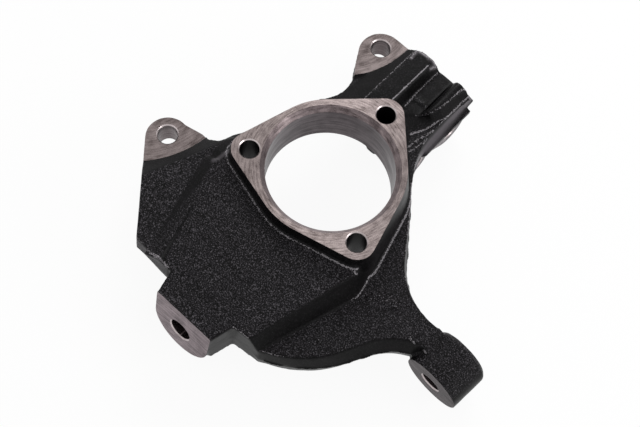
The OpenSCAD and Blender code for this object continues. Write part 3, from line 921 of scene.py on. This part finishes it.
@dataclass
class Knuckle:
    """The finished knuckle: the raw casting with its machined faces, bores and holes.

    Lengths are the CAD source's own sizes, in metres.
    """

    bore_r: float = 43.8 * MM
    lead_in_r: float = 47.2 * MM
    lead_in_depth: float = 4.5 * MM
    bore_depth: float = 35 * MM
    bolt_circle_r: float = 55.5 * MM
    bolt_hole_r: float = 6.75 * MM
    ear_drop: float = 24 * MM
    ear_thickness: float = 20 * MM
    ear_hole_r: float = 7 * MM
    lower_ear: tuple[float, float] = (-104 * MM, -50.3 * MM)
    upper_ear: tuple[float, float] = (-45.1 * MM, 104.6 * MM)
    lower_sweep: tuple[float, float] = (-39.8 * MM, 16.6 * MM)
    upper_sweep: tuple[float, float] = (-45 * MM, 9 * MM)
    sweep_r: float = 61.2 * MM
    ball_mouth: Triple = (-1.3 * MM, -140.8 * MM, -37 * MM)
    ball_tilt: float = math.radians(9.5)
    ball_hole_r: float = 8.25 * MM
    ball_length: float = 40 * MM
    tie_mouth: Triple = (139.7 * MM, -51.6 * MM, -45 * MM)
    tie_tilt: float = math.radians(5)
    tie_turn: float = math.radians(4)
    tie_hole_r: float = 7.2 * MM
    tie_length: float = 30 * MM
    strut_depth: float = 51 * MM
    strut_heights: tuple[float, float] = (64 * MM, 103 * MM)
    strut_hole_r: float = 6.5 * MM
    clamp: tuple[float, float] = (-16 * MM, 28 * MM)
    pad_tops: tuple[float, float] = (-45 * MM, -40.5 * MM)
    pad_middle: float = 84 * MM
    chamfer: float = 0.8 * MM
    over: float = 6 * MM
    hub_cutter_r: float = 90 * MM
    ball_cutter_r: float = 40 * MM
    tie_cutter_r: float = 26 * MM
    obj: bpy.types.Object = field(init=False)
    finishes: list[bpy.types.Material] = field(default_factory=list)

    def ball_axis(self) -> Vector:
        """Returns the direction out along the ball joint's stud."""
        return Vector((0, -math.cos(self.ball_tilt), math.sin(self.ball_tilt)))

    def tie_axis(self) -> Vector:
        """Returns the direction out along the tie rod's stud."""
        lean = Matrix.Rotation(math.pi / 2 + self.tie_tilt, 3, "X")
        turn = Matrix.Rotation(-self.tie_turn, 3, "Z")
        return turn @ lean @ UP

    def bolt_places(self) -> list[Vector]:
        """Returns the centres of the hub bolt holes on the hub face."""
        angles = [math.radians(90 + 120 * i) for i in range(3)]
        return [Vector((math.cos(a), math.sin(a), 0)) * self.bolt_circle_r for a in angles]

    def ears(self) -> list[tuple[Vector, Vector, Slot]]:
        """Returns each ear's hole mouth, the centre of the cutter's sweep and its slot."""
        found = []
        for ear, sweep, slot in (
            (self.lower_ear, self.lower_sweep, Slot.LOWER_EAR),
            (self.upper_ear, self.upper_sweep, Slot.UPPER_EAR),
        ):
            mouth = Vector((*ear, -self.ear_drop))
            found.append((mouth, mouth + Vector((*sweep, 0)), slot))
        return found

    def holes(self) -> list[Hole]:
        """Lists every hole that is cut into the raw casting."""
        coat, drilled = Slot.COAT.value, Slot.DRILLED.value
        past = 1 * MM
        short = 0.1 * MM
        made = [
            Hole(p, UP, self.bolt_hole_r, 43 * MM, 47 * MM if i else 42 * MM, self.chamfer, coat)
            for i, p in enumerate(self.bolt_places())
        ]
        through = [
            (mouth, UP, self.ear_hole_r, self.ear_thickness) for mouth, _, _ in self.ears()
        ]
        through.append(
            (Vector(self.ball_mouth), self.ball_axis(), self.ball_hole_r, self.ball_length)
        )
        through.append(
            (Vector(self.tie_mouth), self.tie_axis(), self.tie_hole_r, self.tie_length)
        )
        width = self.clamp[1] - self.clamp[0]
        for up in self.strut_heights:
            mouth = Vector((self.clamp[1], up, -self.strut_depth))
            through.append((mouth, SIDE, self.strut_hole_r, width))
        made += [
            Hole(mouth, axis, radius, long - short, long + past, self.chamfer, drilled)
            for mouth, axis, radius, long in through
        ]
        return made

    def bore_plug(self) -> Hole:
        """Returns the bearing bore as a hole, for its stock."""
        return Hole(
            Vector((0, 0, 0)), UP, self.lead_in_r, self.bore_depth, 0.0, 0.0, Slot.BORE.value
        )

    def faces(self) -> list[MilledFace]:
        """Lists every flat machined face."""
        stock = 3 * MM
        made = [MilledFace("hub", Vector((0, 0, 0)), UP, 1.0, stock)]
        made += [
            MilledFace("ear", centre, UP, self.sweep_r + 0.1 * MM, 2.4 * MM, 1.01)
            for _, centre, _ in self.ears()
        ]
        made.append(
            MilledFace("ball", Vector(self.ball_mouth), self.ball_axis(), 60 * MM, stock)
        )
        made.append(MilledFace("tie", Vector(self.tie_mouth), self.tie_axis(), 40 * MM, stock))
        for x, side in ((self.clamp[1], SIDE), (self.clamp[0], -SIDE)):
            place = Vector((x, self.pad_middle, -self.strut_depth))
            made.append(MilledFace("pad", place, side, 60 * MM, stock))
        return made

    def build(self) -> None:
        """Builds the raw casting, dresses it and machines it."""
        holes = self.holes()
        self.obj = RawCasting().build([*holes, self.bore_plug()], self.faces())
        self.dress()
        self.machine(holes)
        activate(self.obj)
        bpy.ops.object.shade_smooth_by_angle(angle=math.radians(32))

    def dress(self) -> None:
        """Puts the finishes in the casting's material slots, in the order of Slot."""
        (_, low, _), (_, high, _) = self.ears()
        ball, tie = Vector(self.ball_mouth), Vector(self.tie_mouth)
        aside = Vector((0.02, 0.0, -0.17))
        made = [
            CoatedCasting(),
            MachinedIron("turned_iron_hub_face"),
            # Painted shade: the bore's iron is a darker copy of the turned face's, for the shade
            # inside the bore.
            MachinedIron(
                "bored_iron", dark="#373033", bright="#5b5356", feed_mm=2.2, streak=1.5,
                roughness=0.36, stretch=0.3, lay=Lay.FEED,
            ),
            MachinedIron(
                "milled_iron_lower_ear", tuple(low), dark="#4a4241", bright="#817776",
                feed_mm=1.4, streak=4.0, stretch=0.35,
            ),
            # Painted shade: a darker copy of the lower ear's milled iron, damping the highlight the
            # lamps lay on it.
            MachinedIron(
                "milled_iron_upper_ear", tuple(high), dark="#3f3837", bright="#736a69",
                feed_mm=1.4, streak=4.0, stretch=0.25, second_pass=self.sweep_r - 5.5 * MM,
            ),
            MachinedIron(
                "milled_iron_ball_face", tuple(ball + aside), tuple(self.ball_axis()),
                dark="#544b4e", bright="#988b8f", feed_mm=1.4, streak=9.0,
            ),
            # Painted shade: a darker copy of the ball face's milled iron, for a face that turns
            # away from the lamps.
            MachinedIron(
                "milled_iron_tie_rod_face", tuple(tie + aside), tuple(self.tie_axis()),
                dark="#2b2628", bright="#524b4d", feed_mm=1.4, streak=9.0,
            ),
            MachinedIron(
                "rough_milled_iron_strut_pads", (0.028, 0.0, -0.05), (1, 0, 0),
                dark="#3d393b", bright="#9a9396", feed_mm=1.2, streak=20.0, roughness=0.6,
                stretch=0.0, metal=0.25,
            ),
            MachinedIron(
                "drilled_iron", dark="#443b3c", bright="#746a6b", feed_mm=1.0, streak=0.5,
                roughness=0.36, stretch=0.0, lay=Lay.FEED,
            ),
            # Painted glint: a paler copy of the drilled iron, so the chamfers shine as if they
            # caught the light.
            MachinedIron(
                "countersunk_iron", dark="#8f8585", bright="#c9bfbf", streak=0.5,
                roughness=0.3, stretch=0.0, lay=Lay.FEED,
            ),
            MachinedIron("turned_iron_lead_in", dark="#4f4647", bright="#96898a"),
        ]
        for finish in made:
            material = finish.build()
            self.finishes.append(material)
            self.obj.data.materials.append(material)

    def cut(self, cutter: bpy.types.Object, slot: int) -> None:
        """Cuts a tool's shape out of the casting and removes the tool.

        Args:
            cutter: The tool's shape.
            slot: Material slot of the surfaces that it leaves.
        """
        for finish in self.finishes:
            cutter.data.materials.append(finish)
        for polygon in cutter.data.polygons:
            polygon.material_index = slot
        apply_modifier(
            self.obj, "BOOLEAN", operation="DIFFERENCE", solver="MANIFOLD", object=cutter
        )
        bpy.data.objects.remove(cutter)

    def machine(self, holes: list[Hole]) -> None:
        """Cuts every machined surface, and the narrow hollows that the sand core left.

        Args:
            holes: The drilled holes.
        """
        self.cut_hollows()
        over = self.over
        self.cut(rod(Vector((0, 0, 0)), UP, over, self.hub_cutter_r), Slot.HUB_FACE.value)
        for _, centre, slot in self.ears():
            self.cut(rod(centre, UP, self.ear_drop - 0.5 * MM, self.sweep_r), slot.value)
        ball = Vector(self.ball_mouth)
        self.cut(rod(ball, self.ball_axis(), over, self.ball_cutter_r), Slot.BALL_FACE.value)
        tie = Vector(self.tie_mouth)
        self.cut(rod(tie, self.tie_axis(), over, self.tie_cutter_r), Slot.TIE_FACE.value)
        self.cut(self.pad_cutter(self.clamp[1], self.pad_tops[1], 1), Slot.PADS.value)
        self.cut(self.pad_cutter(self.clamp[0], self.pad_tops[0], -1), Slot.PADS.value)
        bottom = Vector((0, 0, -self.bore_depth - over))
        self.cut(rod(bottom, UP, self.bore_depth + 2 * over, self.bore_r), Slot.BORE.value)
        grow = (self.lead_in_r - self.bore_r) / self.lead_in_depth
        foot = Vector((0, 0, -self.lead_in_depth))
        self.cut(
            rod(foot, UP, self.lead_in_depth + 1 * MM, self.bore_r, self.lead_in_r + grow * MM),
            Slot.LEAD_IN.value,
        )
        for hole in holes:
            start = hole.mouth + hole.axis * over
            self.cut(rod(start, -hole.axis, hole.depth + over, hole.radius), hole.finish)
            start = hole.mouth - hole.axis * hole.chamfer
            wide = hole.radius + 2 * hole.chamfer
            self.cut(rod(start, hole.axis, 2 * hole.chamfer, hole.radius, wide), Slot.CHAMFER.value)

    def cut_hollows(self) -> None:
        """Cuts the slit beside the second ridge, the groove over the strut pad and its recess."""
        for start, end, wide, narrow in (
            ((12.6, 88, -20.8), (10.9, 113, -22.4), 2.0, 0.5),
            ((28.9, 74, -39.6), (28.9, 112, -39.6), 1.2, 1.2),
            ((28.6, 86.6, -47.5), (28.6, 89.6, -41), 1.6, 1.3),
        ):
            first, last = Vector(start) * MM, Vector(end) * MM
            run = last - first
            self.cut(rod(first, run, run.length, wide * MM, narrow * MM), Slot.COAT.value)

    def pad_cutter(self, x: float, top: float, side: int) -> bpy.types.Object:
        """Makes the block that faces one strut clamp pad.

        Args:
            x: Place of the pad.
            top: Height of its upper edge.
            side: 1 for the right pad, -1 for the left one.

        Returns:
            The cutter.
        """
        thick, long, bottom = 8 * MM, 90 * MM, -70 * MM
        deselect_all()
        bpy.ops.mesh.primitive_cube_add(
            size=1, location=(x + side * thick / 2, self.pad_middle, (top + bottom) / 2)
        )
        block = bpy.context.object
        block.scale = (thick, long, top - bottom)
        bpy.ops.object.transform_apply(location=False, rotation=False, scale=True)
        return block


def seen_directly(tree: bpy.types.NodeTree) -> bpy.types.NodeSocket:
    """Tells the camera's rays, reflections and rays through glass from the light on surfaces.

    Args:
        tree: Node tree to add the nodes to.

    Returns:
        A socket that is 1 for what is seen and 0 for what only lights.
    """
    path = add_node(tree, "LightPath").outputs
    seen = path["Is Camera Ray"]
    for kind in ("Is Glossy Ray", "Is Transmission Ray"):
        seen = add_node(tree, "Math", {0: seen, 1: path[kind]}, operation="MAXIMUM").outputs[0]
    return seen


@dataclass
class Studio:
    """Pale floor, soft lamps and the camera at the photograph's angle."""

    floor_z: float = -66.3 * MM
    eye: Triple = (0.19883, -0.28994, 0.71929)
    right: Triple = (0.73328, 0.67725, 0.06023)
    above: Triple = (-0.63955, 0.65697, 0.39921)
    back: Triple = (0.23080, -0.33125, 0.91488)
    focal_px: float = 1209.69
    image_px: float = 640.0
    sensor_mm: float = 36.0

    def build(self) -> None:
        """Builds the floor, the world, the lamps and the camera."""
        self.add_floor()
        self.light_world()
        self.add_lamp("key", (-0.95, 1.5, 1.15), 1.3, 1.0, 28.0)
        self.add_lamp("fill", (1.2, 0.45, 0.5), 0.9, 0.6, 7.0)
        self.add_camera()

    def add_floor(self) -> None:
        """Adds a white floor that keeps a soft shadow."""
        deselect_all()
        bpy.ops.mesh.primitive_plane_add(size=8, location=(0, 0, self.floor_z))
        floor = bpy.context.object
        floor.name = "floor"
        bpy.ops.object.transform_apply(location=True, rotation=False, scale=False)
        material, tree, shader = new_material("matt_white_paper")
        shader.inputs["Base Color"].default_value = linear("#fafafa")
        shader.inputs["Roughness"].default_value = 0.9
        glow = add_node(tree, "Emission", {"Color": (1, 1, 1, 1), "Strength": 1.0})
        share = add_node(
            tree, "Math", {0: seen_directly(tree), 1: 0.93}, operation="MULTIPLY"
        ).outputs[0]
        mixed = add_node(
            tree, "MixShader", {0: share, 1: shader.outputs[0], 2: glow.outputs[0]}
        ).outputs[0]
        output = next(n for n in tree.nodes if n.type == "OUTPUT_MATERIAL")
        tree.links.new(mixed, output.inputs["Surface"])
        floor.data.materials.append(material)

    def light_world(self) -> None:
        """Lights the world softly, and shows it white to the camera and in reflections."""
        world = bpy.data.worlds.new("studio")
        bpy.context.scene.world = world
        world.use_nodes = True
        tree = world.node_tree
        tree.nodes.clear()
        soft = add_node(tree, "Background", {"Color": (1, 1, 1, 1), "Strength": 0.5})
        white = add_node(tree, "Background", {"Color": (1, 1, 1, 1), "Strength": 1.0})
        mixed = add_node(
            tree, "MixShader", {0: seen_directly(tree), 1: soft.outputs[0], 2: white.outputs[0]}
        )
        add_node(tree, "OutputWorld", {"Surface": mixed.outputs[0]})

    def add_lamp(
        self, name: str, place: Triple, width: float, height: float, watts: float
    ) -> None:
        """Adds a soft rectangular lamp that points at the part.

        Args:
            name: Name of the lamp.
            place: Its centre.
            width: Its width.
            height: Its height.
            watts: Its power.
        """
        data = bpy.data.lights.new(name, "AREA")
        data.shape = "RECTANGLE"
        data.size, data.size_y = width, height
        data.energy = watts
        lamp = bpy.data.objects.new(name, data)
        bpy.context.scene.collection.objects.link(lamp)
        lamp.location = place
        aim = Vector((0.02, -0.01, -0.03)) - lamp.location
        lamp.rotation_mode = "QUATERNION"
        lamp.rotation_quaternion = aim.to_track_quat("-Z", "Y")

    def add_camera(self) -> None:
        """Adds the camera at the photograph's place, angle and field of view."""
        data = bpy.data.cameras.new("camera")
        data.sensor_fit = "HORIZONTAL"
        data.sensor_width = self.sensor_mm
        data.lens = self.focal_px * self.sensor_mm / self.image_px
        data.clip_start, data.clip_end = 0.01, 20
        camera = bpy.data.objects.new("camera", data)
        bpy.context.scene.collection.objects.link(camera)
        turn = Matrix((self.right, self.above, self.back)).transposed()
        camera.matrix_world = Matrix.Translation(self.eye) @ turn.to_4x4()
        bpy.context.scene.camera = camera


def main() -> None:
    """Builds the knuckle and the studio."""
    logging.basicConfig(level=logging.INFO, format="%(message)s")
    knuckle = Knuckle()
    knuckle.build()
    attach(knuckle.obj, "root")
    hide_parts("knuckle")
    log.info(
        "casting: %d triangles", sum(len(p.vertices) - 2 for p in knuckle.obj.data.polygons)
    )
    Studio().build()
    bpy.context.scene.view_settings.view_transform = "Standard"


if __name__ == "__main__":
    main()
